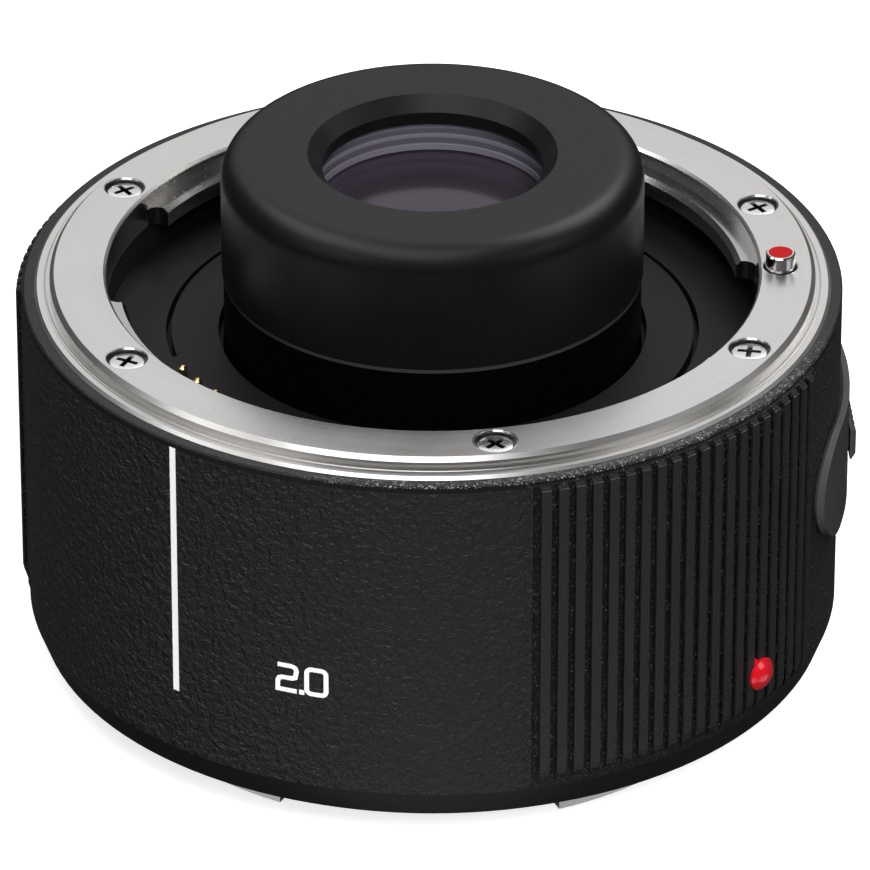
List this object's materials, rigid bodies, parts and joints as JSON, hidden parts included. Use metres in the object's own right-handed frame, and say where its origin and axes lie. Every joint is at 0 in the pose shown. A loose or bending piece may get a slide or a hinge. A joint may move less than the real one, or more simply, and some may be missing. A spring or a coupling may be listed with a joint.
{
  "type": "camera teleconverter",
  "caption": "Short black barrel with a bayonet at both ends, ribbed grip pads, a side release knob, a sprung lock pin and a round glass hood standing out of the lens-side throat.",
  "frame": {"origin": "on the optical axis, in the plane of the camera-side flange", "axes": "+Z along the optical axis towards the lens, +X towards the lens-side index mark, beside the lock pin"},
  "size_m": [0.0729, 0.0708, 0.0503],
  "materials": {
    "mount_steel": "fine turned satin",
    "screw_steel": "polished",
    "spring_steel": "rolled, satin",
    "black_alloy": "black anodised, matte",
    "black_plastic": "matte",
    "contact_gold": "gold plated, polished",
    "hood_paint": "painted satin black",
    "coated_glass": "polished, violet coating",
    "inner_glass": "polished",
    "barrel_paint": "painted, fine textured black",
    "plate_paint": "painted satin black",
    "red_bead": "gloss",
    "black_rubber": "matte",
    "circuit_board": "solder mask",
    "chip_black": "moulded",
    "flex_film": "satin film"
  },
  "bodies": {
    "converter": {"lens_mount_ring": "mount_steel", "lens_mount_screws": "screw_steel", "bayonet_spring": "spring_steel", "lens_mount_shim": "spring_steel", "chassis": "black_alloy", "throat_floor_inner": "black_plastic", "throat_floor_outer": "black_plastic", "lens_contact_block": "black_plastic", "lens_barrel": "black_alloy", "barrel_screws": "screw_steel", "front_hood": "hood_paint", "hood_seam_ring": "hood_paint", "front_retaining_ring": "black_alloy", "front_glass": "coated_glass", "second_glass": "inner_glass", "third_glass": "inner_glass", "fourth_glass": "inner_glass", "fifth_glass": "inner_glass", "sixth_glass": "inner_glass", "seventh_glass": "coated_glass", "front_spacer": "black_alloy", "rear_spacer": "black_alloy", "rear_retaining_ring": "black_alloy", "outer_barrel": "barrel_paint", "index_bead": "red_bead", "release_plate": "plate_paint", "lock_pin_spring": "spring_steel", "rear_cover": "barrel_paint", "camera_mount_ring": "mount_steel", "camera_mount_screws": "screw_steel", "camera_seal": "black_rubber", "rear_baffle": "black_plastic", "camera_contact_block": "black_plastic", "camera_contacts": "contact_gold", "main_board": "circuit_board", "board_screws": "screw_steel", "controller_chip": "chip_black", "memory_chip": "chip_black", "lens_contact_flex": "flex_film", "camera_contact_flex": "flex_film"},
    "release": {"release_knob": "plate_paint", "release_slider": "black_plastic"},
    "lock": {"lock_pin": "mount_steel", "lock_pin_mark": "red_bead", "lock_cross_peg": "screw_steel"},
    "contacts": {"lens_contact_pins": "contact_gold"}
  },
  "joints": [
    {"name": "release_slide", "type": "hinge", "parent": "converter", "child": "release", "pos_m": [0, 0, 0.0172], "axis": [0, 0, -1], "range_deg": [0, 7]},
    {"name": "lock_press", "type": "slide", "parent": "converter", "child": "lock", "axis": [0, 0, -1], "range_m": [0, 0.0016], "stiffness_N_per_m": 60, "springref_m": -0.0003, "deforming": ["lock_pin_spring"]},
    {"name": "contact_press", "type": "slide", "parent": "converter", "child": "contacts", "axis": [0, 0, -1], "range_m": [0, 0.00075], "stiffness_N_per_m": 60, "springref_m": -0.0005}
  ],
  "couplings": [
    {"joint": "release_slide", "follows": "lock_press", "rad_per_m": 76.358}
  ]
}
